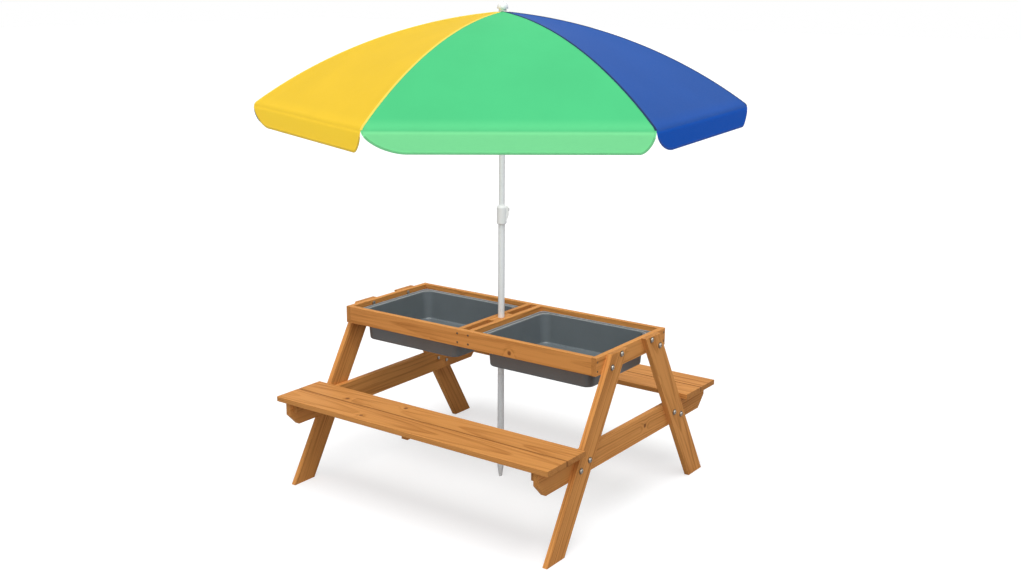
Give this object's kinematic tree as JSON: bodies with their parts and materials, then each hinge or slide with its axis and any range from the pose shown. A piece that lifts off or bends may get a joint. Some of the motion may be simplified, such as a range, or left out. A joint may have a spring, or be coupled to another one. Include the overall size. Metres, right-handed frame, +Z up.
{
  "type": "picnic table",
  "caption": "Child's timber picnic table with fixed benches, lift-out trays in the top and a folding six-panel sunshade on a height-adjustable mast",
  "frame": {"origin": "on the ground, on the mast's axis in the middle of the table", "axes": "+X along the table to its right end, +Y from the front bench to the back bench, +Z up the mast"},
  "size_m": [1.273, 1.3636, 1.3858],
  "materials": {
    "fir": "stained, satin",
    "tray_plastic": "moulded, matte",
    "mast_enamel": "white powder coat",
    "white_plastic": "moulded, satin",
    "button_plastic": "moulded, matte",
    "rib_enamel": "white enamel",
    "zinc_steel": "zinc plated",
    "screw_steel": "dark zinc",
    "canopy_yellow": "woven polyester",
    "canopy_green": "woven polyester",
    "canopy_blue": "woven polyester"
  },
  "bodies": {
    "table": {"batten_screws": "screw_steel", "crossbeam_left": "fir", "crossbeam_right": "fir", "divider_left": "fir", "divider_right": "fir", "end_rail_left": "fir", "end_rail_right": "fir", "frame_screws": "screw_steel", "leg_back_left": "fir", "leg_back_right": "fir", "leg_bolts": "zinc_steel", "leg_front_left": "fir", "leg_front_right": "fir", "leg_nuts": "zinc_steel", "leg_washers": "zinc_steel", "long_rail_back": "fir", "long_rail_front": "fir", "mast_block_back": "fir", "mast_block_front": "fir", "seat_back_inner": "fir", "seat_back_outer": "fir", "seat_batten_back": "fir", "seat_batten_front": "fir", "seat_cleat_back_left": "fir", "seat_cleat_back_right": "fir", "seat_cleat_front_left": "fir", "seat_cleat_front_right": "fir", "seat_front_inner": "fir", "seat_front_outer": "fir", "tray_bearer_back_left": "fir", "tray_bearer_back_right": "fir", "tray_bearer_front_left": "fir", "tray_bearer_front_right": "fir"},
    "tray_left": {"tray_left": "tray_plastic"},
    "tray_right": {"tray_right": "tray_plastic"},
    "mast_foot": {"mast_tip": "white_plastic"},
    "mast": {"ground_tube": "mast_enamel", "main_tube": "mast_enamel", "height_collar": "white_plastic"},
    "lock_button": {"lock_button": "button_plastic"},
    "canopy_head": {"upper_tube": "mast_enamel", "crown_hub": "white_plastic", "finial": "white_plastic", "canopy_yellow": "canopy_yellow", "canopy_green": "canopy_green", "canopy_blue": "canopy_blue"},
    "rib_1": {"rib_1": "rib_enamel"},
    "rib_2": {"rib_2": "rib_enamel"},
    "rib_3": {"rib_3": "rib_enamel"},
    "rib_4": {"rib_4": "rib_enamel"},
    "rib_5": {"rib_5": "rib_enamel"},
    "rib_6": {"rib_6": "rib_enamel"},
    "stretcher_1": {"stretcher_1": "rib_enamel"},
    "stretcher_2": {"stretcher_2": "rib_enamel"},
    "stretcher_3": {"stretcher_3": "rib_enamel"},
    "stretcher_4": {"stretcher_4": "rib_enamel"},
    "stretcher_5": {"stretcher_5": "rib_enamel"},
    "stretcher_6": {"stretcher_6": "rib_enamel"},
    "runner": {"runner": "white_plastic"}
  },
  "joints": [
    {"name": "tray_left_lift", "type": "slide", "parent": "table", "child": "tray_left", "axis": [0, 0, 1], "range_m": [0, 0.12]},
    {"name": "tray_right_lift", "type": "slide", "parent": "table", "child": "tray_right", "axis": [0, 0, 1], "range_m": [0, 0.12]},
    {"name": "mast_lift", "type": "slide", "parent": "table", "child": "mast_foot", "axis": [0, 0, 1], "range_m": [0, 0.5]},
    {"name": "mast_turn", "type": "hinge", "parent": "mast_foot", "child": "mast", "pos_m": [0, 0, 0.04], "axis": [0, 0, 1], "continuous": true},
    {"name": "lock_press", "type": "slide", "parent": "mast", "child": "lock_button", "axis": [-0.8121, -0.5835, 0], "range_m": [0, 0.003], "stiffness_N_per_m": 600, "springref_m": -0.002},
    {"name": "mast_height", "type": "slide", "parent": "mast", "child": "canopy_head", "axis": [0, 0, 1], "range_m": [0, 0.15]},
    {"name": "canopy_fold", "type": "hinge", "parent": "canopy_head", "child": "rib_1", "pos_m": [0.01108, 0.00856, 1.35393], "axis": [-0.6115, 0.7912, 0], "range_deg": [0, 65], "deforming": ["canopy_yellow", "canopy_green", "canopy_blue"]},
    {"name": "rib_2_fold", "type": "hinge", "parent": "canopy_head", "child": "rib_2", "pos_m": [-0.00188, 0.01387, 1.35393], "axis": [-0.991, -0.134, 0], "range_deg": [0, 65]},
    {"name": "rib_3_fold", "type": "hinge", "parent": "canopy_head", "child": "rib_3", "pos_m": [-0.01295, 0.00531, 1.35393], "axis": [-0.3795, -0.9252, 0], "range_deg": [0, 65]},
    {"name": "rib_4_fold", "type": "hinge", "parent": "canopy_head", "child": "rib_4", "pos_m": [-0.01108, -0.00856, 1.35393], "axis": [0.6115, -0.7912, 0], "range_deg": [0, 65]},
    {"name": "rib_5_fold", "type": "hinge", "parent": "canopy_head", "child": "rib_5", "pos_m": [0.00188, -0.01387, 1.35393], "axis": [0.991, 0.134, 0], "range_deg": [0, 65]},
    {"name": "rib_6_fold", "type": "hinge", "parent": "canopy_head", "child": "rib_6", "pos_m": [0.01295, -0.00531, 1.35393], "axis": [0.3795, 0.9252, 0], "range_deg": [0, 65]},
    {"name": "stretcher_1_fold", "type": "hinge", "parent": "rib_1", "child": "stretcher_1", "pos_m": [0.18251, 0.14106, 1.31576], "axis": [-0.6115, 0.7912, 0], "range_deg": [-108.73, 0]},
    {"name": "stretcher_2_fold", "type": "hinge", "parent": "rib_2", "child": "stretcher_2", "pos_m": [-0.03091, 0.22858, 1.31576], "axis": [-0.991, -0.134, 0], "range_deg": [-108.73, 0]},
    {"name": "stretcher_3_fold", "type": "hinge", "parent": "rib_3", "child": "stretcher_3", "pos_m": [-0.21341, 0.08753, 1.31576], "axis": [-0.3795, -0.9252, 0], "range_deg": [-108.73, 0]},
    {"name": "stretcher_4_fold", "type": "hinge", "parent": "rib_4", "child": "stretcher_4", "pos_m": [-0.18251, -0.14106, 1.31576], "axis": [0.6115, -0.7912, 0], "range_deg": [-108.73, 0]},
    {"name": "stretcher_5_fold", "type": "hinge", "parent": "rib_5", "child": "stretcher_5", "pos_m": [0.03091, -0.22858, 1.31576], "axis": [0.991, 0.134, 0], "range_deg": [-108.73, 0]},
    {"name": "stretcher_6_fold", "type": "hinge", "parent": "rib_6", "child": "stretcher_6", "pos_m": [0.21341, -0.08753, 1.31576], "axis": [0.3795, 0.9252, 0], "range_deg": [-108.73, 0]},
    {"name": "runner_slide", "type": "slide", "parent": "canopy_head", "child": "runner", "axis": [0, 0, -1], "range_m": [0, 0.28324]}
  ],
  "couplings": [
    {"joint": "rib_2_fold", "follows": "canopy_fold", "ratio": 1},
    {"joint": "rib_3_fold", "follows": "canopy_fold", "ratio": 1},
    {"joint": "rib_4_fold", "follows": "canopy_fold", "ratio": 1},
    {"joint": "rib_5_fold", "follows": "canopy_fold", "ratio": 1},
    {"joint": "rib_6_fold", "follows": "canopy_fold", "ratio": 1},
    {"joint": "stretcher_1_fold", "follows": "canopy_fold", "ratio": -1.665},
    {"joint": "stretcher_2_fold", "follows": "canopy_fold", "ratio": -1.665},
    {"joint": "stretcher_3_fold", "follows": "canopy_fold", "ratio": -1.665},
    {"joint": "stretcher_4_fold", "follows": "canopy_fold", "ratio": -1.665},
    {"joint": "stretcher_5_fold", "follows": "canopy_fold", "ratio": -1.665},
    {"joint": "stretcher_6_fold", "follows": "canopy_fold", "ratio": -1.665},
    {"joint": "runner_slide", "follows": "canopy_fold", "m_per_rad": 0.24923}
  ]
}
